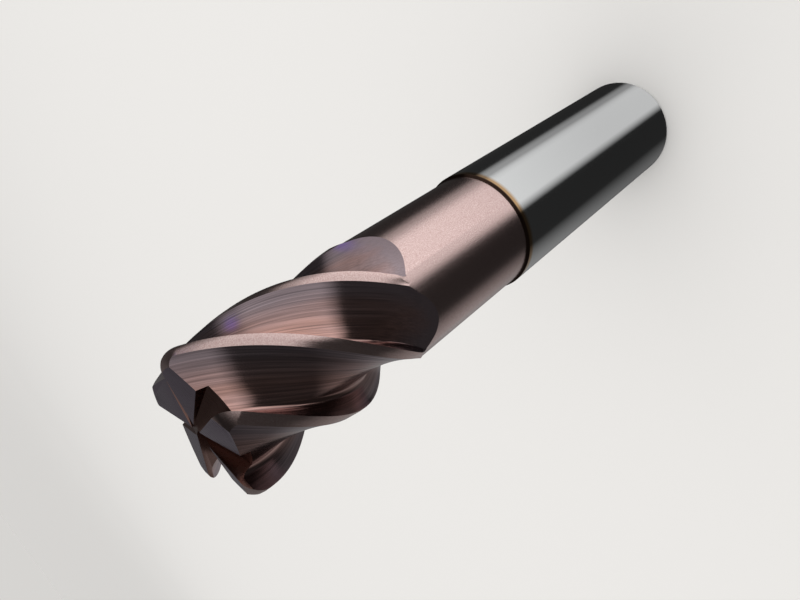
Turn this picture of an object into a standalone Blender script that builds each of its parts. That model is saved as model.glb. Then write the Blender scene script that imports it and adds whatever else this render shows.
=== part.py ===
"""Solid carbide end mill, 3/4 in x 4 in, five flutes, necked, with a corner radius.

The tool stands on the end of its shank. Z runs along the axis from the shank's end
face (z = 0) to the cutting end. X and Y are any two directions square to the axis.
Lengths are in metres and angles in degrees.
"""

import math

import bmesh
import bpy
from mathutils import Vector

MM = 0.001

# Turned blank
OVERALL_LENGTH = 101.6 * MM
SHANK_DIAMETER = 19.05 * MM
SHANK_LENGTH = 50.4 * MM
SHANK_END_CHAMFER = 0.5 * MM
NECK_DIAMETER = 18.32 * MM
CUTTER_LENGTH = 28.2 * MM
CUTTER_STEP_LENGTH = 3.4 * MM
GRINDING_ALLOWANCE = 0.44 * MM
BLANK_TAPER_LENGTH = 1.2 * MM
BLANK_SEGMENTS = 96

# Teeth: the angle of each cutting edge where its helix reaches the cutting end
CUTTER_DIAMETER = 19.02 * MM
HELIX_ANGLE = 39.3
TOOTH_ANGLES = [-65.5, 5.2, 71.5, 142.0, 222.5]
CORNER_RADIUS = 2.286 * MM
CORNER_STEPS = 6

# Flute, measured square to the helix
CORE_DIAMETER = 12.8 * MM
RAKE_ANGLE = 8.0
HOOK_RADIUS = 0.9 * MM
FLOOR_FLAT = 0.85 * MM
HEEL_DIAMETER = 18.42 * MM
LAND_WIDTH = 1.31 * MM
MARGIN_WIDTH = 0.42 * MM
MARGIN_DROP = 0.05 * MM
HOOK_STEPS = 4
FLOOR_STEPS = 7
FLUTE_STEP = 1.2 * MM

# Where the grinding wheel leaves the flute, measured along the helix from the cutting end
FULL_DEPTH_LENGTH = 26.7 * MM
RUNOUT_RADIUS = 17.4 * MM
RUNOUT_LENGTH = 11.2 * MM
RUNOUT_STEPS = 14

# End teeth
EDGE_CORNER_LAG = 5.6
EDGE_OFFSET = 0.2 * MM
EDGE_SKEW = 3.9
DISH_ANGLE = 1.5
END_PRIMARY_ANGLE = 8.0
END_PRIMARY_WIDTH = 0.75 * MM
END_SECONDARY_ANGLE = 11.0
EDGE_CLEARANCE = 0.1 * MM

# Notch in front of each end tooth: its floor widens from the axis to the outside. The
# last one is wide at the axis too, so it cuts the first tooth short of the centre.
GASH_INNER_WIDTHS = [0.1 * MM, 0.35 * MM, 0.35 * MM, 0.35 * MM, 1.6 * MM]
GASH_OUTER_WIDTHS = [5.0 * MM, 5.2 * MM, 5.0 * MM, 5.0 * MM, 5.0 * MM]
GASH_AXIAL_RAKE = 12.0
GASH_CENTRE_DEPTH = 0.35 * MM
GASH_ANGLE = 17.0
GASH_FLOOR_RISE = 0.3 * MM
GASH_WALL_ANGLE = 70.0
GASH_START = 1.2 * MM

HELIX = math.radians(HELIX_ANGLE)
CUT_RADIUS = CUTTER_DIAMETER / 2
CORE_RADIUS = CORE_DIAMETER / 2
HEEL_RADIUS = HEEL_DIAMETER / 2
OUTSIDE = CUT_RADIUS * 1.2
RUNOUT_START = OVERALL_LENGTH / math.cos(HELIX) - FULL_DEPTH_LENGTH


def clear_scene():
    for obj in list(bpy.data.objects):
        bpy.data.objects.remove(obj, do_unlink=True)


def make_material(name, color, metallic, roughness):
    material = bpy.data.materials.new(name)
    material.use_nodes = True
    shader = material.node_tree.nodes["Principled BSDF"]
    shader.inputs["Base Color"].default_value = (*color, 1.0)
    shader.inputs["Metallic"].default_value = metallic
    shader.inputs["Roughness"].default_value = roughness
    material.diffuse_color = (*color, 1.0)
    return material


def object_from(bm, name):
    bmesh.ops.recalc_face_normals(bm, faces=bm.faces[:])
    mesh = bpy.data.meshes.new(name)
    bm.to_mesh(mesh)
    bm.free()
    obj = bpy.data.objects.new(name, mesh)
    bpy.context.scene.collection.objects.link(obj)
    return obj


def turned_blank(name):
    """The blank as it leaves the lathe: shank, neck and an oversize cutting end."""
    shoulder = (SHANK_DIAMETER - NECK_DIAMETER) / 2
    shank = SHANK_DIAMETER / 2
    neck = NECK_DIAMETER / 2
    blank = CUT_RADIUS + GRINDING_ALLOWANCE
    neck_end = OVERALL_LENGTH - CUTTER_LENGTH
    corner_z = OVERALL_LENGTH - CORNER_RADIUS
    profile = [
        (0.0, 0.0),
        (shank - SHANK_END_CHAMFER, 0.0),
        (shank, SHANK_END_CHAMFER),
        (shank, SHANK_LENGTH),
        (neck, SHANK_LENGTH + abs(shoulder)),
        (neck, neck_end),
        (blank, neck_end + CUTTER_STEP_LENGTH),
        (blank, corner_z - BLANK_TAPER_LENGTH),
    ]
    for i in range(CORNER_STEPS + 1):
        turn = math.radians(90 * i / CORNER_STEPS)
        r = CUT_RADIUS - CORNER_RADIUS * (1 - math.cos(turn))
        profile.append((r, corner_z + CORNER_RADIUS * math.sin(turn)))
    profile.append((0.0, OVERALL_LENGTH))
    bm = bmesh.new()
    verts = [bm.verts.new((r, 0.0, z)) for r, z in profile]
    edges = [bm.edges.new(pair) for pair in zip(verts, verts[1:])]
    bmesh.ops.spin(
        bm,
        geom=verts + edges,
        cent=(0, 0, 0),
        axis=(0, 0, 1),
        angle=math.tau,
        steps=BLANK_SEGMENTS,
    )
    bmesh.ops.remove_doubles(bm, verts=bm.verts[:], dist=1e-6)
    return object_from(bm, name)


def wheel_lift(s):
    """How far the wheel has left the flute at the distance s along the helix."""
    back = RUNOUT_START - s
    if back <= 0:
        return 0.0
    return RUNOUT_RADIUS - math.sqrt(RUNOUT_RADIUS ** 2 - back ** 2)


def flute_profile(pitch_width):
    """The flute's section as (kind, w, r): w across the helix, r from the axis.

    It runs from the rake face over the floor to the heel of the next tooth.
    """
    heel_w = pitch_width - LAND_WIDTH
    slope = math.tan(math.radians(RAKE_ANGLE)) * math.cos(HELIX)
    hook_top = CORE_RADIUS + HOOK_RADIUS
    wall_w = -slope * (CUT_RADIUS - hook_top) * 0.75
    points = [("wall", slope * (OUTSIDE - CUT_RADIUS), OUTSIDE), ("wall", 0.0, CUT_RADIUS)]
    points.append(("wall", wall_w * 0.75, (CUT_RADIUS * 2 + hook_top) / 3))
    points.append(("wall", wall_w, hook_top))
    centre_w = wall_w + HOOK_RADIUS
    for i in range(1, HOOK_STEPS + 1):
        turn = math.radians(90 * i / HOOK_STEPS)
        w = centre_w - HOOK_RADIUS * math.cos(turn)
        points.append(("hook", w, hook_top - HOOK_RADIUS * math.sin(turn)))
    start_w = centre_w + FLOOR_FLAT
    run = heel_w - start_w
    rise = HEEL_RADIUS - CORE_RADIUS
    arc = (run ** 2 + rise ** 2) / (2 * rise)
    sweep = math.asin(run / arc)
    for i in range(0, FLOOR_STEPS + 1):
        turn = sweep * i / FLOOR_STEPS
        w = start_w + arc * math.sin(turn)
        points.append(("floor", w, CORE_RADIUS + arc * (1 - math.cos(turn))))
    return points


def land_profile(pitch_width):
    """The relieved land as (kind, w, r), from the heel to past the cutting edge."""
    margin_w = pitch_width - MARGIN_WIDTH
    margin_slope = MARGIN_DROP / MARGIN_WIDTH
    beyond = 0.35 * MM
    return [
        ("land", margin_w, CUT_RADIUS - MARGIN_DROP),
        ("land", pitch_width + beyond, CUT_RADIUS + margin_slope * beyond),
    ]


def wheel_closure(pitch_width):
    """The cutter's outer side, well outside the blank, back to the rake face."""
    start = pitch_width + 0.35 * MM
    steps = 5
    return [("out", start * (1 - i / steps), OUTSIDE) for i in range(steps)]


def lifted(kind, w, r, s):
    """Moves one point of the section to where the leaving wheel puts it."""
    lift = wheel_lift(s)
    if lift == 0.0 or kind in ("land", "out"):
        return w, r
    ceiling = OUTSIDE - 0.4 * MM
    if kind == "floor":
        return w, min(r + lift, ceiling + 0.05 * (r - CORE_RADIUS))
    base = min(CORE_RADIUS + lift, ceiling)
    share = (r - CORE_RADIUS) / (OUTSIDE - CORE_RADIUS)
    tight = 1.0 - 0.8 * min(1.0, (RUNOUT_START - s) / (3 * MM))
    if kind == "hook":
        w = w * tight
        return w, base + share * (OUTSIDE - base) * tight
    return w, base + share * (OUTSIDE - base)


def stations(pitch_width):
    """Distances along the helix at which the cutter's section is drawn."""
    run = [RUNOUT_START - RUNOUT_LENGTH * (1 - i / RUNOUT_STEPS) for i in range(RUNOUT_STEPS)]
    past_tip = 3 * MM
    end = (OVERALL_LENGTH + pitch_width * math.sin(HELIX)) / math.cos(HELIX) + past_tip
    steps = math.ceil((end - RUNOUT_START) / FLUTE_STEP)
    span = end - RUNOUT_START
    return run + [RUNOUT_START + span * i / steps for i in range(steps + 1)]


def helix_point(s, w, r, edge_turn):
    """Wraps a point of the unrolled helix onto the tool."""
    z = s * math.cos(HELIX) - w * math.sin(HELIX)
    turn = edge_turn + (s * math.sin(HELIX) + w * math.cos(HELIX)) / CUT_RADIUS
    return (r * math.cos(turn), r * math.sin(turn), z)


def flute_cutter(name, edge_angle, pitch):
    """The space that the wheels take out between one cutting edge and the next."""
    pitch_width = math.radians(pitch) * CUT_RADIUS * math.cos(HELIX)
    section = flute_profile(pitch_width) + land_profile(pitch_width)
    section = section + wheel_closure(pitch_width)
    edge_turn = math.radians(edge_angle) - OVERALL_LENGTH * math.tan(HELIX) / CUT_RADIUS
    bm = bmesh.new()
    rings = []
    for s in stations(pitch_width):
        ring = []
        for kind, w, r in section:
            w, r = lifted(kind, w, r, s)
            ring.append(bm.verts.new(helix_point(s, w, r, edge_turn)))
        rings.append(ring)
    count = len(section)
    for low, high in zip(rings, rings[1:]):
        for i in range(count):
            j = (i + 1) % count
            bm.faces.new((low[i], low[j], high[j], high[i]))
    bm.faces.new(rings[0])
    bm.faces.new(list(reversed(rings[-1])))
    return object_from(bm, name)


def edge_frame(edge_angle):
    """Directions of an end tooth: out along its edge, and ahead of it."""
    turn = math.radians(edge_angle - EDGE_CORNER_LAG)
    out = Vector((math.cos(turn), math.sin(turn)))
    return out, Vector((-out.y, out.x))


def edge_point(edge_angle, u, ahead):
    """The point u out along an end edge from the axis, and this far ahead of it."""
    out, forward = edge_frame(edge_angle)
    skew = math.sin(math.radians(EDGE_SKEW))
    return out * u + forward * (skew * u - EDGE_OFFSET + ahead)


def crossing(a, b, c, d):
    """The crossing of the endless lines a-b and c-d."""
    along = b - a
    other = d - c
    share = (c - a).cross(other) / along.cross(other)
    return a + along * share


def edges_meet(edge_angle, ahead, next_angle, next_ahead):
    """Where a line beside one end edge crosses a line beside another."""
    lines = [edge_point(edge_angle, u, ahead) for u in (-CUT_RADIUS, CUT_RADIUS)]
    lines += [edge_point(next_angle, u, next_ahead) for u in (-CUT_RADIUS, CUT_RADIUS)]
    return crossing(*lines)


def end_height(edge_angle, point):
    """Height of the clearance behind an end edge at a point of the plan."""
    out, forward = edge_frame(edge_angle)
    u = point.dot(out)
    back = math.sin(math.radians(EDGE_SKEW)) * u - EDGE_OFFSET - point.dot(forward)
    strip = END_PRIMARY_WIDTH
    drop = math.tan(math.radians(END_PRIMARY_ANGLE)) * min(back, strip)
    drop += math.tan(math.radians(END_SECONDARY_ANGLE)) * max(back - strip, 0.0)
    dish = math.tan(math.radians(DISH_ANGLE)) * (CUT_RADIUS - CORNER_RADIUS - u)
    return OVERALL_LENGTH - dish - drop


def prism(name, near, far):
    """A closed prism between two outlines of the same count."""
    bm = bmesh.new()
    a = [bm.verts.new(p) for p in near]
    b = [bm.verts.new(p) for p in far]
    for i in range(len(a)):
        j = (i + 1) % len(a)
        bm.faces.new((a[i], a[j], b[j], b[i]))
    bm.faces.new(a)
    bm.faces.new(list(reversed(b)))
    return object_from(bm, name)


def gash_outline(edge_angle, u, floor):
    """The notch's section square to the end edge, at u from the axis."""
    above = 3 * MM
    lean = math.tan(math.radians(GASH_AXIAL_RAKE))
    wall = math.tan(math.radians(GASH_WALL_ANGLE))
    depth = GASH_CENTRE_DEPTH + u * math.tan(math.radians(GASH_ANGLE))
    low = OVERALL_LENGTH - depth
    outline = [
        (lean * above, OVERALL_LENGTH + above),
        (-lean * depth, low),
        (floor / 2, low + GASH_FLOOR_RISE / 6),
        (floor, low + GASH_FLOOR_RISE),
        (floor + (depth - GASH_FLOOR_RISE + above) / wall, OVERALL_LENGTH + above),
    ]
    return [(*edge_point(edge_angle, u, ahead), z) for ahead, z in outline]


def gash_cutter(name, edge_angle, inner_width, outer_width):
    """The wheel's notch in front of one end tooth."""
    inner = gash_outline(edge_angle, -GASH_START, inner_width)
    outer = gash_outline(edge_angle, CUT_RADIUS * 1.3, outer_width)
    return prism(name, inner, outer)


def relief_cutter(name, edge_angle, next_angle):
    """The clearance behind one end edge, as far as the next tooth's notch."""
    reach = CUT_RADIUS * 1.45
    ahead = EDGE_CLEARANCE
    strip = END_PRIMARY_WIDTH
    plan = [
        edges_meet(edge_angle, ahead, next_angle, ahead),
        edge_point(edge_angle, reach, ahead),
        edge_point(edge_angle, reach, -strip),
        edge_point(next_angle, reach, ahead),
        edges_meet(edge_angle, -strip, next_angle, ahead),
    ]
    top = OVERALL_LENGTH + 4 * MM
    bm = bmesh.new()
    low = [bm.verts.new((*p, end_height(edge_angle, p))) for p in plan]
    high = [bm.verts.new((*p, top)) for p in plan]
    for i in range(len(plan)):
        j = (i + 1) % len(plan)
        bm.faces.new((low[i], low[j], high[j], high[i]))
    bm.faces.new(high)
    bm.faces.new((low[0], low[4], low[2], low[1]))
    bm.faces.new((low[2], low[4], low[3]))
    return object_from(bm, name)


def cut(target, cutter):
    cutter.hide_render = True
    cutter.display_type = "WIRE"
    modifier = target.modifiers.new(cutter.name, "BOOLEAN")
    modifier.operation = "DIFFERENCE"
    modifier.solver = "EXACT"
    modifier.object = cutter


def build():
    clear_scene()
    tool = turned_blank("end_mill")
    count = len(TOOTH_ANGLES)
    for i, angle in enumerate(TOOTH_ANGLES):
        ahead = TOOTH_ANGLES[(i + 1) % count] + (360 if i + 1 == count else 0)
        behind = TOOTH_ANGLES[i - 1] - (360 if i == 0 else 0)
        cut(tool, flute_cutter(f"flute_cutter_{i + 1}", angle, ahead - angle))
        widths = GASH_INNER_WIDTHS[i], GASH_OUTER_WIDTHS[i]
        cut(tool, gash_cutter(f"gash_cutter_{i + 1}", angle, *widths))
        cut(tool, relief_cutter(f"relief_cutter_{i + 1}", angle, behind))
    coating = make_material("coated_carbide", (0.27, 0.19, 0.17), 1.0, 0.3)
    tool.data.materials.append(coating)
    tool.data.shade_smooth()
    tool.data.set_sharp_from_angle(angle=math.radians(25))


build()
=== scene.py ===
import math

import bmesh
import bpy
from mathutils import Matrix, Vector


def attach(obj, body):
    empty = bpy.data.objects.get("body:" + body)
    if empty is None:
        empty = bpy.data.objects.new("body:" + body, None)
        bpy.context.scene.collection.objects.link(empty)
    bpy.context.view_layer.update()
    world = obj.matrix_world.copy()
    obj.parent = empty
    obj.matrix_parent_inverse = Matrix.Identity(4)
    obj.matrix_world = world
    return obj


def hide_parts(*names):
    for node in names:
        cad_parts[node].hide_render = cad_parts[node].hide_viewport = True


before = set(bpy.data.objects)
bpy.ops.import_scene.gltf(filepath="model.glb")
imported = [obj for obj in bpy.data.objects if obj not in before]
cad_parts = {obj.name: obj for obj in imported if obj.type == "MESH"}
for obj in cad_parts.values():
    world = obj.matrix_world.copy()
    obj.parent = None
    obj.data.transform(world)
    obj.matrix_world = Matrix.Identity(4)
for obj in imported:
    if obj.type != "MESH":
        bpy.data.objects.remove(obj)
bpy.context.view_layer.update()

MM = 0.001

# Camera. It looks at the cutting end from above one flank, rolled so that the tool lies
# across the picture. Its focal length is in pixels of a picture 800 wide.
CAMERA_PLACE = Vector((68.1, 0.0, 119.6)) * MM
CAMERA_AZIMUTH = 1.2
CAMERA_ELEVATION = 36.23
CAMERA_ROLL = -126.2
FOCAL_PIXELS = 620.6
PICTURE_WIDTH = 800
SENSOR_WIDTH = 36
NEAREST_SEEN = 1 * MM


def direction(azimuth, elevation):
    """The unit vector that points this way, in degrees."""
    azimuth, elevation = math.radians(azimuth), math.radians(elevation)
    flat = math.cos(elevation)
    return Vector((flat * math.cos(azimuth), flat * math.sin(azimuth), math.sin(elevation)))


lens = bpy.data.cameras.new("camera")
lens.sensor_width = SENSOR_WIDTH
lens.lens = FOCAL_PIXELS / PICTURE_WIDTH * SENSOR_WIDTH
lens.clip_start = NEAREST_SEEN
camera = bpy.data.objects.new("camera", lens)
bpy.context.scene.collection.objects.link(camera)
facing = -direction(CAMERA_AZIMUTH, CAMERA_ELEVATION)
turned = facing.to_track_quat("-Z", "Y").to_matrix()
turned = turned @ Matrix.Rotation(math.radians(CAMERA_ROLL), 3, "Z")
camera.matrix_world = Matrix.Translation(CAMERA_PLACE) @ turned.to_4x4()
bpy.context.scene.camera = camera
bpy.context.scene.view_settings.view_transform = "Standard"


def linear(hex_colour):
    """An sRGB colour such as "#8A7060" as linear red, green, blue and alpha."""
    parts = [int(hex_colour[i:i + 2], 16) / 255 for i in (1, 3, 5)]
    return [c / 12.92 if c <= 0.04045 else ((c + 0.055) / 1.055) ** 2.4 for c in parts] + [1.0]


def add(tree, kind, inputs=None, **settings):
    """Adds a node, sets it up, and links or fills its inputs."""
    node = tree.nodes.new(kind)
    for name, value in settings.items():
        setattr(node, name, value)
    for key, value in (inputs or {}).items():
        if isinstance(value, bpy.types.NodeSocket):
            tree.links.new(value, node.inputs[key])
        else:
            node.inputs[key].default_value = value
    return node


# Floor. A plain pale table top of matt painted board, far wider than the view. It takes
# the tool's soft shadow.
FLOOR_SIZE = 40.0
FLOOR_COLOUR = linear("#E6E4E1")
FLOOR_ROUGHNESS = 0.9
FLOOR_GLOSS = 0.1
bm = bmesh.new()
bmesh.ops.create_grid(bm, x_segments=1, y_segments=1, size=FLOOR_SIZE / 2)
floor_mesh = bpy.data.meshes.new("floor")
bm.to_mesh(floor_mesh)
bm.free()
floor = bpy.data.objects.new("floor", floor_mesh)
bpy.context.scene.collection.objects.link(floor)
floor_paint = bpy.data.materials.new("pale_floor")
floor_paint.use_nodes = True
floor_shader = floor_paint.node_tree.nodes["Principled BSDF"]
floor_shader.inputs["Base Color"].default_value = FLOOR_COLOUR
floor_shader.inputs["Roughness"].default_value = FLOOR_ROUGHNESS
floor_shader.inputs["Specular IOR Level"].default_value = FLOOR_GLOSS
floor_mesh.materials.append(floor_paint)

# Studio light. Two soft boxes, and a pale room that the camera sees as the far background.
# The boxes light the floor, and the tent below gives the metal its reflections. A box has
# its azimuth and elevation in degrees, distance and size in metres, and power in watts.
LAMPS = {
    "key_box": (50.0, 62.0, 0.75, 0.7, 1.3),
    "fill_box": (215.0, 45.0, 0.85, 0.8, 0.9),
}
ROOM_LIGHT = 0.85
for name, (azimuth, elevation, distance, size, power) in LAMPS.items():
    lamp = bpy.data.lights.new(name, "AREA")
    lamp.shape = "SQUARE"
    lamp.size = size
    lamp.energy = power
    lamp_object = bpy.data.objects.new(name, lamp)
    bpy.context.scene.collection.objects.link(lamp_object)
    way = direction(azimuth, elevation)
    turn = (-way).to_track_quat("-Z", "Y").to_matrix().to_4x4()
    lamp_object.matrix_world = Matrix.Translation(way * distance) @ turn
    lamp_object.visible_camera = False
    lamp_object.visible_glossy = False

room = bpy.data.worlds.new("room")
bpy.context.scene.world = room
room.use_nodes = True
air = room.node_tree
air.nodes.clear()
rays = add(air, "ShaderNodeLightPath")
seen = add(air, "ShaderNodeMath",
           {0: rays.outputs["Is Camera Ray"], 1: rays.outputs["Is Glossy Ray"]},
           operation="MAXIMUM")
seen = add(air, "ShaderNodeMath", {0: seen.outputs[0], 1: rays.outputs["Is Transmission Ray"]},
           operation="MAXIMUM")
wall = add(air, "ShaderNodeMix", {"Factor": seen.outputs[0], 6: (1, 1, 1, 1), 7: FLOOR_COLOUR},
           data_type="RGBA")
background = add(air, "ShaderNodeBackground", {"Color": wall.outputs[2], "Strength": ROOM_LIGHT})
add(air, "ShaderNodeOutputWorld", {"Surface": background.outputs[0]})

# Light tent. A dark ball round the tool with four soft white cards in it, as used to
# photograph polished metal. Only reflections see it, so it leaves the floor as it is.
TENT_RADIUS = 1.0
TENT_HEIGHT = 70 * MM
TENT_LEVELS = (0.024, 0.03, 0.05, 0.05, 0.02)
CARD_HEIGHTS = (-60.0, -40.0, 0.0, 35.0, 70.0)
# The azimuth of a card's middle, half the width of its even part and of the whole with its
# soft edges, in degrees, then its brightness at each of those elevations.
CARDS = {
    "window_card": (30.0, 30.0, 48.0, (0.78, 1.30, 0.75, 0.33, 0.05)),
    "side_card": (80.0, 4.0, 19.0, (0.33, 0.58, 0.42, 0.20, 0.02)),
    "far_card": (-134.0, 4.0, 50.0, (0.12, 0.36, 0.06, 0.03, 0.0)),
    "back_card": (178.0, 10.0, 50.0, (0.0, 0.02, 0.08, 0.07, 0.0)),
}
# A small violet card gives the flutes their glint: the azimuth and elevation of its middle,
# half the width of its even part and of the whole, in degrees.
VIOLET_CARD = (84.0, 7.5, 2.0, 8.0)
VIOLET = linear("#A79BEA")
TENT_FINENESS = 5
bm = bmesh.new()
bmesh.ops.create_icosphere(bm, subdivisions=TENT_FINENESS, radius=TENT_RADIUS,
                           matrix=Matrix.Translation((0, 0, TENT_HEIGHT)))
tent_mesh = bpy.data.meshes.new("light_tent")
bm.to_mesh(tent_mesh)
bm.free()
tent = bpy.data.objects.new("light_tent", tent_mesh)
bpy.context.scene.collection.objects.link(tent)
for kind in ("camera", "diffuse", "transmission", "shadow", "volume_scatter"):
    setattr(tent, "visible_" + kind, False)
floor.visible_glossy = False
cards = bpy.data.materials.new("graduated_cards")
cards.use_nodes = True
tree = cards.node_tree
tree.nodes.clear()
place = add(tree, "ShaderNodeTexCoord").outputs["Object"]
outwards = add(tree, "ShaderNodeVectorMath", {0: place, 1: (0, 0, TENT_HEIGHT)},
               operation="SUBTRACT")
split = add(tree, "ShaderNodeSeparateXYZ", {0: outwards.outputs[0]})
height = add(tree, "ShaderNodeMapRange", {"Value": split.outputs["Z"], "From Min": -TENT_RADIUS,
                                          "From Max": TENT_RADIUS})
flat = add(tree, "ShaderNodeVectorMath", {0: outwards.outputs[0], 1: (1, 1, 0)},
           operation="MULTIPLY")
heading = add(tree, "ShaderNodeVectorMath", {0: flat.outputs[0]}, operation="NORMALIZE")
level = None
for azimuth, even, whole, levels in [(0.0, 180.0, 180.0, TENT_LEVELS), *CARDS.values()]:
    ramp = add(tree, "ShaderNodeValToRGB", {"Fac": height.outputs["Result"]})
    stops = ramp.color_ramp.elements
    stops.remove(stops[1])
    for i, (elevation, brightness) in enumerate(zip(CARD_HEIGHTS, levels)):
        share = (math.sin(math.radians(elevation)) + 1) / 2
        stop = stops[0] if i == 0 else stops.new(share)
        stop.position = share
        stop.color = (brightness, brightness, brightness, 1)
    if level is None:
        level = ramp.outputs["Color"]
        continue
    aim = add(tree, "ShaderNodeVectorMath", {0: heading.outputs[0], 1: direction(azimuth, 0)},
              operation="DOT_PRODUCT")
    width = add(tree, "ShaderNodeMapRange", {"Value": aim.outputs["Value"],
                                             "From Min": math.cos(math.radians(whole)),
                                             "From Max": math.cos(math.radians(even))})
    card = add(tree, "ShaderNodeVectorMath",
               {0: ramp.outputs["Color"], "Scale": width.outputs["Result"]}, operation="SCALE")
    level = add(tree, "ShaderNodeVectorMath", {0: level, 1: card.outputs[0]},
                operation="ADD").outputs[0]
azimuth, elevation, even, whole = VIOLET_CARD
aim = add(tree, "ShaderNodeVectorMath", {0: outwards.outputs[0], 1: direction(azimuth, elevation)},
          operation="DOT_PRODUCT")
violet = add(tree, "ShaderNodeMapRange", {"Value": aim.outputs["Value"],
                                          "From Min": TENT_RADIUS * math.cos(math.radians(whole)),
                                          "From Max": TENT_RADIUS * math.cos(math.radians(even))})
level = add(tree, "ShaderNodeMix", {"Factor": violet.outputs["Result"], 6: level,
                                    7: VIOLET}, data_type="RGBA").outputs[2]
emission = add(tree, "ShaderNodeEmission", {"Color": level, "Strength": 1.0})
add(tree, "ShaderNodeOutputMaterial", {"Surface": emission.outputs[0]})
tent_mesh.materials.append(cards)

# Turned blank. One rod of sintered tungsten carbide, turned and ground round: the shank,
# the relieved neck and the oversize cutting end with its rounded corner.
OVERALL_LENGTH = 101.6 * MM
SHANK_RADIUS = 9.525 * MM
SHANK_LENGTH = 50.4 * MM
SHANK_END_CHAMFER = 0.5 * MM
NECK_RADIUS = 9.16 * MM
CUTTER_LENGTH = 28.2 * MM
CUTTER_STEP_LENGTH = 3.4 * MM
GRINDING_ALLOWANCE = 0.44 * MM
BLANK_TAPER_LENGTH = 1.2 * MM
CUT_RADIUS = 9.51 * MM
CORNER_RADIUS = 2.286 * MM
CORNER_STEPS = 20
BLANK_SEGMENTS = 288
MERGE_DISTANCE = 0.001 * MM
SHANK, NECK, FLUTE, LAND, NOTCH, RELIEF = range(6)


def piece_from(bm, name, finishes=None):
    """A new object of this mesh, whose faces say which tool ground them."""
    bmesh.ops.recalc_face_normals(bm, faces=bm.faces[:])
    mesh = bpy.data.meshes.new(name)
    bm.to_mesh(mesh)
    bm.free()
    if finishes:
        mesh.attributes.new("finish", "INT", "FACE").data.foreach_set("value", finishes)
    obj = bpy.data.objects.new(name, mesh)
    bpy.context.scene.collection.objects.link(obj)
    return obj


corner_z = OVERALL_LENGTH - CORNER_RADIUS
neck_end = OVERALL_LENGTH - CUTTER_LENGTH
profile = [
    (0.0, 0.0),
    (SHANK_RADIUS - SHANK_END_CHAMFER, 0.0),
    (SHANK_RADIUS, SHANK_END_CHAMFER),
    (SHANK_RADIUS, SHANK_LENGTH),
    (NECK_RADIUS, SHANK_LENGTH + SHANK_RADIUS - NECK_RADIUS),
    (NECK_RADIUS, neck_end),
    (CUT_RADIUS + GRINDING_ALLOWANCE, neck_end + CUTTER_STEP_LENGTH),
    (CUT_RADIUS + GRINDING_ALLOWANCE, corner_z - BLANK_TAPER_LENGTH),
]
for i in range(CORNER_STEPS + 1):
    turn = math.radians(90 * i / CORNER_STEPS)
    r = CUT_RADIUS - CORNER_RADIUS * (1 - math.cos(turn))
    profile.append((r, corner_z + CORNER_RADIUS * math.sin(turn)))
profile.append((0.0, OVERALL_LENGTH))
bm = bmesh.new()
verts = [bm.verts.new((r, 0.0, z)) for r, z in profile]
edges = [bm.edges.new(pair) for pair in zip(verts, verts[1:])]
bmesh.ops.spin(bm, geom=verts + edges, cent=(0, 0, 0), axis=(0, 0, 1), angle=math.tau,
               steps=BLANK_SEGMENTS)
bmesh.ops.remove_doubles(bm, verts=bm.verts[:], dist=MERGE_DISTANCE)
bare_top = SHANK_LENGTH + SHANK_RADIUS - NECK_RADIUS
finishes = [SHANK if face.calc_center_median().z < bare_top else NECK for face in bm.faces]
blank = piece_from(bm, "turned_blank", finishes)

# Flutes. Five grinding wheels' paths, drawn straight: across the flute in x, along it in
# y, from the axis in z. Each runs from the rake face over the floor to the relieved land.
HELIX_ANGLE = 39.3
TOOTH_ANGLES = [-65.5, 5.2, 71.5, 142.0, 222.5]
CORE_RADIUS = 6.4 * MM
HEEL_RADIUS = 9.21 * MM
RAKE_ANGLE = 8.0
HOOK_RADIUS = 0.9 * MM
FLOOR_FLAT = 0.85 * MM
LAND_WIDTH = 1.31 * MM
MARGIN_WIDTH = 0.42 * MM
MARGIN_DROP = 0.05 * MM
PAST_EDGE = 0.35 * MM
FULL_DEPTH_LENGTH = 26.7 * MM
RUNOUT_RADIUS = 17.4 * MM
RUNOUT_LENGTH = 11.2 * MM
RUNOUT_STEPS = 40
HOOK_STEPS = 8
FLOOR_STEPS = 22
LAND_STEPS = 3
FLUTE_STEP = 0.5 * MM
PAST_TIP = 3 * MM
OUTER_STEPS = 5
# The rake face bows: how much of a straight one's lean it has at its foot, and how much of
# that a third of the way down.
RAKE_AT_FOOT = 0.75
RAKE_AT_THIRD = 0.75
# In the run-out the hook closes up, and the lifted floor stays just under the wheel's top.
HOOK_CLOSING = 0.8
HOOK_CLOSING_LENGTH = 3 * MM
CEILING_GAP = 0.4 * MM
CEILING_SLOPE = 0.05
FLUTE_REACH = 1.2
helix = math.radians(HELIX_ANGLE)
outside = CUT_RADIUS * FLUTE_REACH
ceiling = outside - CEILING_GAP
runout_start = OVERALL_LENGTH / math.cos(helix) - FULL_DEPTH_LENGTH


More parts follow.
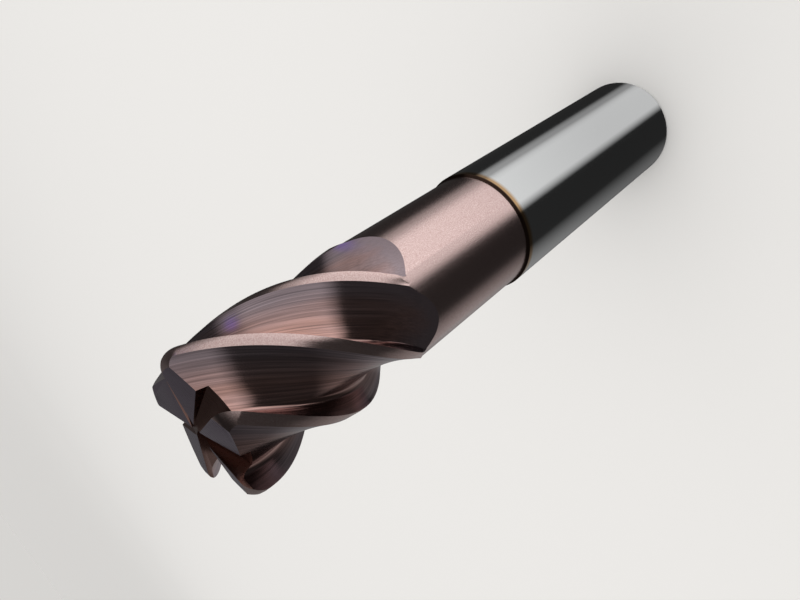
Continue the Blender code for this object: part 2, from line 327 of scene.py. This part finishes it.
def flute_section(pitch_width):
    """The wheel's section as (kind, across, from the axis)."""
    slope = math.tan(math.radians(RAKE_ANGLE)) * math.cos(helix)
    hook_top = CORE_RADIUS + HOOK_RADIUS
    wall = -slope * (CUT_RADIUS - hook_top) * RAKE_AT_FOOT
    section = [("wall", slope * (outside - CUT_RADIUS), outside), ("wall", 0.0, CUT_RADIUS)]
    section.append(("wall", wall * RAKE_AT_THIRD, (CUT_RADIUS * 2 + hook_top) / 3))
    section.append(("wall", wall, hook_top))
    centre = wall + HOOK_RADIUS
    for i in range(1, HOOK_STEPS + 1):
        turn = math.radians(90 * i / HOOK_STEPS)
        section.append(("hook", centre - HOOK_RADIUS * math.cos(turn),
                        hook_top - HOOK_RADIUS * math.sin(turn)))
    start = centre + FLOOR_FLAT
    run = pitch_width - LAND_WIDTH - start
    rise = HEEL_RADIUS - CORE_RADIUS
    arc = (run ** 2 + rise ** 2) / (2 * rise)
    sweep = math.asin(run / arc)
    for i in range(FLOOR_STEPS + 1):
        turn = sweep * i / FLOOR_STEPS
        section.append(("floor", start + arc * math.sin(turn),
                        CORE_RADIUS + arc * (1 - math.cos(turn))))
    heel, margin = pitch_width - LAND_WIDTH, pitch_width - MARGIN_WIDTH
    for i in range(1, LAND_STEPS + 1):
        share = i / LAND_STEPS
        drop = (CUT_RADIUS - HEEL_RADIUS) * (1 - share) + MARGIN_DROP * share
        section.append(("land", heel + (margin - heel) * share, CUT_RADIUS - drop))
    past = MARGIN_DROP / MARGIN_WIDTH * PAST_EDGE
    section.append(("land", pitch_width + PAST_EDGE, CUT_RADIUS + past))
    for i in range(OUTER_STEPS):
        section.append(("out", (pitch_width + PAST_EDGE) * (1 - i / OUTER_STEPS), outside))
    return section


def lifted(kind, across, r, along):
    """Where a point of the section goes as the wheel leaves the flute."""
    back = runout_start - along
    if back <= 0 or kind in ("land", "out"):
        return across, along, r
    lift = RUNOUT_RADIUS - math.sqrt(RUNOUT_RADIUS ** 2 - back ** 2)
    if kind == "floor":
        return across, along, min(r + lift, ceiling + CEILING_SLOPE * (r - CORE_RADIUS))
    base = min(CORE_RADIUS + lift, ceiling)
    share = (r - CORE_RADIUS) / (outside - CORE_RADIUS)
    if kind == "wall":
        return across, along, base + share * (outside - base)
    tight = 1 - HOOK_CLOSING * min(1.0, back / HOOK_CLOSING_LENGTH)
    return across * tight, along, base + share * (outside - base) * tight


ahead_of = TOOTH_ANGLES[1:] + TOOTH_ANGLES[:1]
pitches = [(ahead - angle) % 360 for angle, ahead in zip(TOOTH_ANGLES, ahead_of)]
wheels = []
for tooth, pitch in enumerate(pitches):
    pitch_width = math.radians(pitch) * CUT_RADIUS * math.cos(helix)
    section = flute_section(pitch_width)
    end = (OVERALL_LENGTH + pitch_width * math.sin(helix)) / math.cos(helix) + PAST_TIP
    steps = math.ceil((end - runout_start) / FLUTE_STEP)
    stations = [runout_start - RUNOUT_LENGTH * (1 - i / RUNOUT_STEPS) for i in range(RUNOUT_STEPS)]
    stations += [runout_start + (end - runout_start) * i / steps for i in range(steps + 1)]
    bm = bmesh.new()
    rings = [[bm.verts.new(lifted(*point, along)) for point in section] for along in stations]
    finishes = []
    for low, high in zip(rings, rings[1:]):
        for i in range(len(section)):
            j = (i + 1) % len(section)
            bm.faces.new((low[i], low[j], high[j], high[i]))
            finishes.append(LAND if section[j][0] == "land" else FLUTE)
    bm.faces.new(rings[0])
    bm.faces.new(list(reversed(rings[-1])))
    wheels.append(piece_from(bm, f"flute_wheel_{tooth + 1}", finishes + [FLUTE, FLUTE]))

# End teeth. In front of each end edge a notch, and behind it a narrow first clearance and
# a wider second one, all ground flat.
EDGE_CORNER_LAG = 5.6
EDGE_OFFSET = 0.2 * MM
EDGE_SKEW = 3.9
DISH_ANGLE = 1.5
END_PRIMARY_ANGLE = 8.0
END_PRIMARY_WIDTH = 0.75 * MM
END_SECONDARY_ANGLE = 11.0
EDGE_CLEARANCE = 0.1 * MM
GASH_INNER_WIDTHS = [0.1 * MM, 0.35 * MM, 0.35 * MM, 0.35 * MM, 1.6 * MM]
GASH_OUTER_WIDTHS = [5.0 * MM, 5.2 * MM, 5.0 * MM, 5.0 * MM, 5.0 * MM]
GASH_AXIAL_RAKE = 12.0
GASH_CENTRE_DEPTH = 0.35 * MM
GASH_ANGLE = 17.0
GASH_FLOOR_RISE = 0.3 * MM
GASH_WALL_ANGLE = 70.0
GASH_START = 1.2 * MM
ABOVE_TIP = 3 * MM
# How far these wheels pass the outside, in cutting radii.
NOTCH_REACH = 1.3
RELIEF_REACH = 1.45


def edge_frame(edge_angle):
    """Directions of an end tooth: out along its edge, and ahead of it."""
    turn = math.radians(edge_angle - EDGE_CORNER_LAG)
    out = Vector((math.cos(turn), math.sin(turn)))
    return out, Vector((-out.y, out.x))


def edge_point(edge_angle, u, ahead):
    """The point u out along an end edge from the axis, and this far ahead of it."""
    out, forward = edge_frame(edge_angle)
    return out * u + forward * (math.sin(math.radians(EDGE_SKEW)) * u - EDGE_OFFSET + ahead)


def edges_meet(edge_angle, ahead, next_angle, next_ahead):
    """Where a line beside one end edge crosses a line beside another."""
    a, b = [edge_point(edge_angle, u, ahead) for u in (-CUT_RADIUS, CUT_RADIUS)]
    c, d = [edge_point(next_angle, u, next_ahead) for u in (-CUT_RADIUS, CUT_RADIUS)]
    return a + (b - a) * ((c - a).cross(d - c) / (b - a).cross(d - c))


def end_height(edge_angle, point):
    """Height of the clearance behind an end edge at a point of the plan."""
    out, forward = edge_frame(edge_angle)
    u = point.dot(out)
    back = math.sin(math.radians(EDGE_SKEW)) * u - EDGE_OFFSET - point.dot(forward)
    drop = math.tan(math.radians(END_PRIMARY_ANGLE)) * min(back, END_PRIMARY_WIDTH)
    drop += math.tan(math.radians(END_SECONDARY_ANGLE)) * max(back - END_PRIMARY_WIDTH, 0.0)
    drop += math.tan(math.radians(DISH_ANGLE)) * (CUT_RADIUS - CORNER_RADIUS - u)
    return OVERALL_LENGTH - drop


def notch_outline(edge_angle, u, bottom):
    """The notch's section square to the end edge, at u from the axis."""
    lean = math.tan(math.radians(GASH_AXIAL_RAKE))
    wall = math.tan(math.radians(GASH_WALL_ANGLE))
    depth = GASH_CENTRE_DEPTH + u * math.tan(math.radians(GASH_ANGLE))
    low = OVERALL_LENGTH - depth
    outline = [
        (lean * ABOVE_TIP, OVERALL_LENGTH + ABOVE_TIP),
        (-lean * depth, low),
        (bottom / 2, low + GASH_FLOOR_RISE / 6),
        (bottom, low + GASH_FLOOR_RISE),
        (bottom + (depth - GASH_FLOOR_RISE + ABOVE_TIP) / wall, OVERALL_LENGTH + ABOVE_TIP),
    ]
    return [(*edge_point(edge_angle, u, ahead), z) for ahead, z in outline]


notches, reliefs = [], []
for tooth, angle in enumerate(TOOTH_ANGLES):
    near = notch_outline(angle, -GASH_START, GASH_INNER_WIDTHS[tooth])
    far = notch_outline(angle, CUT_RADIUS * NOTCH_REACH, GASH_OUTER_WIDTHS[tooth])
    bm = bmesh.new()
    ends = [[bm.verts.new(p) for p in outline] for outline in (near, far)]
    for i in range(len(near)):
        j = (i + 1) % len(near)
        bm.faces.new((ends[0][i], ends[0][j], ends[1][j], ends[1][i]))
    bm.faces.new(ends[0])
    bm.faces.new(list(reversed(ends[1])))
    notches.append(piece_from(bm, f"notch_wheel_{tooth + 1}", [NOTCH] * (len(near) + 2)))
    behind = TOOTH_ANGLES[tooth - 1]
    reach = CUT_RADIUS * RELIEF_REACH
    plan = [
        edges_meet(angle, EDGE_CLEARANCE, behind, EDGE_CLEARANCE),
        edge_point(angle, reach, EDGE_CLEARANCE),
        edge_point(angle, reach, -END_PRIMARY_WIDTH),
        edge_point(behind, reach, EDGE_CLEARANCE),
        edges_meet(angle, -END_PRIMARY_WIDTH, behind, EDGE_CLEARANCE),
    ]
    bm = bmesh.new()
    low = [bm.verts.new((*p, end_height(angle, p))) for p in plan]
    high = [bm.verts.new((*p, OVERALL_LENGTH + ABOVE_TIP)) for p in plan]
    for i in range(len(plan)):
        j = (i + 1) % len(plan)
        bm.faces.new((low[i], low[j], high[j], high[i]))
    bm.faces.new(high)
    bm.faces.new((low[0], low[4], low[2], low[1]))
    bm.faces.new((low[2], low[4], low[3]))
    reliefs.append(piece_from(bm, f"relief_wheel_{tooth + 1}", [RELIEF] * (len(plan) + 3)))

# Coating. A hard rose-brown film grown from metal vapour, a few thousandths of a millimetre
# thick. It takes the texture under it: a fine grain on the cylinders, long wheel lines in the
# flutes. Real ones are a few hundredths of a millimetre wide, too fine to show, so both are
# drawn coarser. The film's tone drifts over patches of a few millimetres.
GRAIN = 0.15 * MM
WHEEL_LINE = 0.24 * MM
WHEEL_LINE_LENGTH = 14 * MM
LINES_FADE_FROM = 1 * MM
LINES_FADE_TO = 7 * MM
PATCH = 2.6 * MM
PATCH_LENGTH = 13 * MM


def metal_finish(name):
    """A new metallic material, with its tree and its shader."""
    material = bpy.data.materials.new(name)
    material.use_nodes = True
    shader = material.node_tree.nodes["Principled BSDF"]
    shader.inputs["Metallic"].default_value = 1.0
    return material, material.node_tree, shader


# Neck and lands, ground as cylinders: a soft rose metal with a fine sparkle.
coated_round, tree, shader = metal_finish("coated_ground_cylinder")
place = add(tree, "ShaderNodeTexCoord").outputs["Object"]
grain = add(tree, "ShaderNodeTexNoise", {"Vector": place, "Scale": 1 / GRAIN, "Detail": 3.0,
                                         "Roughness": 0.7})
speck = add(tree, "ShaderNodeMapRange",
            {"Value": grain.outputs["Fac"], "From Min": 0.28, "From Max": 0.72})
tone = add(tree, "ShaderNodeMix", {"Factor": speck.outputs["Result"], 6: linear("#BE9F9A"),
                                   7: linear("#DCC5C1")}, data_type="RGBA")
tree.links.new(tone.outputs[2], shader.inputs["Base Color"])
rough = add(tree, "ShaderNodeMapRange",
            {"Value": speck.outputs["Result"], "To Min": 0.26, "To Max": 0.16})
tree.links.new(rough.outputs["Result"], shader.inputs["Roughness"])
bump = add(tree, "ShaderNodeBump", {"Height": grain.outputs["Fac"], "Strength": 0.4,
                                    "Distance": 0.02 * MM})
tree.links.new(bump.outputs["Normal"], shader.inputs["Normal"])

# Flutes: long lines streak the reflections and fade in the run-out. Their tone goes from
# copper at the floor to mauve at the heel.
coated_flute, tree, shader = metal_finish("coated_wheel_ground_flute")
place = add(tree, "ShaderNodeTexCoord").outputs["Object"]
split = add(tree, "ShaderNodeSeparateXYZ", {0: place})
back_turn = add(tree, "ShaderNodeMath", {0: split.outputs["Z"], 1: -math.tan(helix) / CUT_RADIUS},
                operation="MULTIPLY")
unwound = add(tree, "ShaderNodeVectorRotate", {"Vector": place, "Angle": back_turn.outputs[0]},
              rotation_type="Z_AXIS")
along = add(tree, "ShaderNodeVectorMath",
            {0: unwound.outputs[0], 1: (1 / WHEEL_LINE, 1 / WHEEL_LINE, 1 / WHEEL_LINE_LENGTH)},
            operation="MULTIPLY")
lines = add(tree, "ShaderNodeTexNoise", {"Vector": along.outputs[0], "Scale": 1.0, "Detail": 3.0,
                                         "Roughness": 0.6})
wide = add(tree, "ShaderNodeVectorMath",
           {0: unwound.outputs[0], 1: (1 / PATCH, 1 / PATCH, 1 / PATCH_LENGTH)},
           operation="MULTIPLY")
patches = add(tree, "ShaderNodeTexNoise",
              {"Vector": wide.outputs[0], "Scale": 1.0, "Detail": 2.0})
flat = add(tree, "ShaderNodeVectorMath", {0: place, 1: (1, 1, 0)}, operation="MULTIPLY")
reach = add(tree, "ShaderNodeVectorMath", {0: flat.outputs[0]}, operation="LENGTH")
shallow = add(tree, "ShaderNodeMapRange",
              {"Value": reach.outputs["Value"], "From Min": CORE_RADIUS, "From Max": HEEL_RADIUS,
               "To Min": -0.25, "To Max": 0.75})
uneven = add(tree, "ShaderNodeMath", {0: shallow.outputs["Result"], 1: patches.outputs["Fac"]},
             operation="ADD", use_clamp=True)
tone = add(tree, "ShaderNodeMix", {"Factor": uneven.outputs[0], 6: linear("#C49485"),
                                   7: linear("#B2A0A5")}, data_type="RGBA")
faded = add(tree, "ShaderNodeMapRange",
            {"Value": split.outputs["Z"], "From Min": neck_end - LINES_FADE_FROM,
             "From Max": neck_end + LINES_FADE_TO, "To Min": 0.15})
shade = add(tree, "ShaderNodeMapRange",
            {"Value": lines.outputs["Fac"], "From Min": 0.3, "From Max": 0.7, "To Min": -0.48,
             "To Max": 0.24})
shade = add(tree, "ShaderNodeMath",
            {0: shade.outputs["Result"], 1: faded.outputs["Result"], 2: 0.95},
            operation="MULTIPLY_ADD")
tone = add(tree, "ShaderNodeVectorMath", {0: tone.outputs[2], "Scale": shade.outputs[0]},
           operation="SCALE")
tree.links.new(tone.outputs[0], shader.inputs["Base Color"])
rough = add(tree, "ShaderNodeMapRange",
            {"Value": lines.outputs["Fac"], "To Min": 0.10, "To Max": 0.20})
tree.links.new(rough.outputs["Result"], shader.inputs["Roughness"])
height = add(tree, "ShaderNodeMath", {0: lines.outputs["Fac"], 1: faded.outputs["Result"]},
             operation="MULTIPLY")
bump = add(tree, "ShaderNodeBump", {"Height": height.outputs[0], "Strength": 0.35,
                                    "Distance": 0.02 * MM})
tree.links.new(bump.outputs["Normal"], shader.inputs["Normal"])

# End faces, ground flat: darker and more matt, red-brown in the notches and mauve behind the
# edges, with short lines straight across. A line's size is given along x, y and z.
END_LINE = (0.24 * MM, 1.6 * MM, 0.48 * MM)
END_TONES = {
    "coated_ground_notch": ("#84625A", "#9C7C73"),
    "coated_ground_end_clearance": ("#968894", "#B4A6B6"),
}
coated_end = {}
for name, (low_tone, high_tone) in END_TONES.items():
    coated_end[name], tree, shader = metal_finish(name)
    place = add(tree, "ShaderNodeTexCoord").outputs["Object"]
    across = add(tree, "ShaderNodeVectorMath",
                 {0: place, 1: [1 / size for size in END_LINE]}, operation="MULTIPLY")
    lines = add(tree, "ShaderNodeTexNoise",
                {"Vector": across.outputs[0], "Scale": 1.0, "Detail": 2.0})
    tone = add(tree, "ShaderNodeMix", {"Factor": lines.outputs["Fac"], 6: linear(low_tone),
                                       7: linear(high_tone)}, data_type="RGBA")
    tree.links.new(tone.outputs[2], shader.inputs["Base Color"])
    rough = add(tree, "ShaderNodeMapRange",
                {"Value": lines.outputs["Fac"], "To Min": 0.2, "To Max": 0.38})
    tree.links.new(rough.outputs["Result"], shader.inputs["Roughness"])
    bump = add(tree, "ShaderNodeBump", {"Height": lines.outputs["Fac"], "Strength": 0.2,
                                        "Distance": 0.01 * MM})
    tree.links.new(bump.outputs["Normal"], shader.inputs["Normal"])

# Bare carbide. The shank stays uncoated: a neutral grey metal, centreless ground to a fine
# bright finish with faint rings. The film's edge leaves a straw tint below the shoulder. The
# dark brown band on the shoulder itself is painted shade. The real rings are a few hundredths
# wide, so they are drawn coarser.
SHANK_LINE = 0.13 * MM
SHANK_LINE_LENGTH = 1.625 * MM
TINT_LENGTH = 1.1 * MM
FULL_TINT_LENGTH = 0.44 * MM
# How far below and above the shank's top the painted shade on the shoulder fades in.
PAINTED_SHADE_BELOW = 0.15 * MM
PAINTED_SHADE_ABOVE = 0.05 * MM
bare, tree, shader = metal_finish("bare_ground_carbide")
place = add(tree, "ShaderNodeTexCoord").outputs["Object"]
split = add(tree, "ShaderNodeSeparateXYZ", {0: place})
tint = add(tree, "ShaderNodeMapRange",
           {"Value": split.outputs["Z"], "From Min": SHANK_LENGTH - TINT_LENGTH,
            "From Max": SHANK_LENGTH - FULL_TINT_LENGTH})
tone = add(tree, "ShaderNodeMix", {"Factor": tint.outputs["Result"], 6: linear("#CBCCCC"),
                                   7: linear("#B0906A")}, data_type="RGBA")
# Painted shade: the shoulder is painted dark brown, fading in just below it.
shoulder_painted_shade = add(tree, "ShaderNodeMapRange",
            {"Value": split.outputs["Z"], "From Min": SHANK_LENGTH - PAINTED_SHADE_BELOW,
             "From Max": SHANK_LENGTH + PAINTED_SHADE_ABOVE})
tone = add(tree, "ShaderNodeMix", {"Factor": shoulder_painted_shade.outputs["Result"], 6: tone.outputs[2],
                                   7: linear("#4A3830")}, data_type="RGBA")
tree.links.new(tone.outputs[2], shader.inputs["Base Color"])
across = add(tree, "ShaderNodeVectorMath",
             {0: place, 1: (1 / SHANK_LINE_LENGTH, 1 / SHANK_LINE_LENGTH, 1 / SHANK_LINE)},
             operation="MULTIPLY")
lines = add(tree, "ShaderNodeTexNoise", {"Vector": across.outputs[0], "Scale": 1.0, "Detail": 3.0})
rough = add(tree, "ShaderNodeMapRange",
            {"Value": lines.outputs["Fac"], "To Min": 0.05, "To Max": 0.15})
tree.links.new(rough.outputs["Result"], shader.inputs["Roughness"])
bump = add(tree, "ShaderNodeBump", {"Height": lines.outputs["Fac"], "Strength": 0.15,
                                    "Distance": 0.006 * MM})
tree.links.new(bump.outputs["Normal"], shader.inputs["Normal"])

# Grinding. The blank is cut tooth by tooth. The node tree winds each straight flute path onto
# the helix and takes it, the notch and the clearance away, then gives each face its finish.
# The finishes stand in the order of the numbers SHANK to RELIEF.
FINISHES = {
    "Shank Finish": bare,
    "Neck Finish": coated_round,
    "Flute Finish": coated_flute,
    "Land Finish": coated_round,
    "Notch Finish": coated_end["coated_ground_notch"],
    "Relief Finish": coated_end["coated_ground_end_clearance"],
}

WHEELS = ("Flute", "Notch", "Relief")
tree = bpy.data.node_groups.new("ground_end_mill", "GeometryNodeTree")
for name, kind in (("Blank", "Geometry"), ("Helix Angle", "Float"), ("Cutting Radius", "Float"),
                   ("Length", "Float")):
    tree.interface.new_socket(name, in_out="INPUT", socket_type="NodeSocket" + kind)
for tooth in range(len(TOOTH_ANGLES)):
    tree.interface.new_socket(f"Edge Angle {tooth + 1}", in_out="INPUT",
                              socket_type="NodeSocketFloat")
    for wheel in WHEELS:
        tree.interface.new_socket(f"{wheel} {tooth + 1}", in_out="INPUT",
                                  socket_type="NodeSocketObject")
for name in FINISHES:
    tree.interface.new_socket(name, in_out="INPUT", socket_type="NodeSocketMaterial")
tree.interface.new_socket("Tool", in_out="OUTPUT", socket_type="NodeSocketGeometry")
given = add(tree, "NodeGroupInput").outputs
straight = add(tree, "GeometryNodeInputPosition")
unturn = add(tree, "ShaderNodeMath", {0: given["Helix Angle"], 1: -1.0}, operation="MULTIPLY")
leaning = add(tree, "ShaderNodeVectorRotate",
              {"Vector": straight.outputs[0], "Angle": unturn.outputs[0]}, rotation_type="Z_AXIS")
split = add(tree, "ShaderNodeSeparateXYZ", {0: leaning.outputs[0]})
flat = add(tree, "ShaderNodeCombineXYZ", {"X": split.outputs["Z"], "Z": split.outputs["Y"]})
winding = add(tree, "ShaderNodeMath", {0: split.outputs["X"], 1: given["Cutting Radius"]},
              operation="DIVIDE")
lead = add(tree, "ShaderNodeMath", {0: given["Helix Angle"]}, operation="TANGENT")
lead = add(tree, "ShaderNodeMath", {0: lead.outputs[0], 1: given["Length"]}, operation="MULTIPLY")
lead = add(tree, "ShaderNodeMath", {0: lead.outputs[0], 1: given["Cutting Radius"]},
           operation="DIVIDE")
ground = given["Blank"]
for tooth in range(len(TOOTH_ANGLES)):
    start = add(tree, "ShaderNodeMath", {0: given[f"Edge Angle {tooth + 1}"], 1: lead.outputs[0]},
                operation="SUBTRACT")
    turn = add(tree, "ShaderNodeMath", {0: winding.outputs[0], 1: start.outputs[0]},
               operation="ADD")
    wound = add(tree, "ShaderNodeVectorRotate",
                {"Vector": flat.outputs[0], "Angle": turn.outputs[0]}, rotation_type="Z_AXIS")
    for wheel in WHEELS:
        path = add(tree, "GeometryNodeObjectInfo", {"Object": given[f"{wheel} {tooth + 1}"]})
        path = path.outputs["Geometry"]
        if wheel == "Flute":
            path = add(tree, "GeometryNodeSetPosition",
                       {"Geometry": path, "Position": wound.outputs[0]}).outputs[0]
        ground = add(tree, "GeometryNodeMeshBoolean", {"Mesh 1": ground, "Mesh 2": path},
                     operation="DIFFERENCE", solver="EXACT").outputs["Mesh"]
ground = add(tree, "GeometryNodeRealizeInstances", {"Geometry": ground}).outputs[0]
finish = add(tree, "GeometryNodeInputNamedAttribute", {"Name": "finish"}, data_type="INT")
for number, name in enumerate(FINISHES):
    chosen = add(tree, "FunctionNodeCompare", {2: finish.outputs["Attribute"], 3: number},
                 data_type="INT", operation="EQUAL")
    ground = add(tree, "GeometryNodeSetMaterial",
                 {"Geometry": ground, "Selection": chosen.outputs[0],
                  "Material": given[name]}).outputs[0]
add(tree, "NodeGroupOutput", {"Tool": ground})

grinding = blank.modifiers.new("grinding", "NODES")
grinding.node_group = tree
values = {"Helix Angle": helix, "Cutting Radius": CUT_RADIUS, "Length": OVERALL_LENGTH,
          **FINISHES}
for tooth, angle in enumerate(TOOTH_ANGLES):
    values[f"Edge Angle {tooth + 1}"] = math.radians(angle)
    values[f"Flute {tooth + 1}"] = wheels[tooth]
    values[f"Notch {tooth + 1}"] = notches[tooth]
    values[f"Relief {tooth + 1}"] = reliefs[tooth]
for socket in tree.interface.items_tree:
    if socket.name in values:
        grinding[socket.identifier] = values[socket.name]
evaluated = blank.evaluated_get(bpy.context.evaluated_depsgraph_get())
mesh = bpy.data.meshes.new_from_object(evaluated)
blank.modifiers.remove(grinding)
for obj in [blank] + wheels + notches + reliefs:
    bpy.data.objects.remove(obj, do_unlink=True)

# Finished tool. One plain mesh that keeps only the finishes on its faces, smooth over the
# curves and crisp at the ground edges.
SHARP_ANGLE = 25
used = [mesh.materials[face.material_index] for face in mesh.polygons]
kept = [material for material in mesh.materials if material in used and material]
mesh.materials.clear()
for material in kept:
    mesh.materials.append(material)
mesh.polygons.foreach_set("material_index", [kept.index(material) for material in used])
mesh.name = "end_mill_ground"
mesh.shade_smooth()
mesh.set_sharp_from_angle(angle=math.radians(SHARP_ANGLE))
tool = bpy.data.objects.new("end_mill_ground", mesh)
bpy.context.scene.collection.objects.link(tool)
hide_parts("end_mill")
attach(tool, "root")
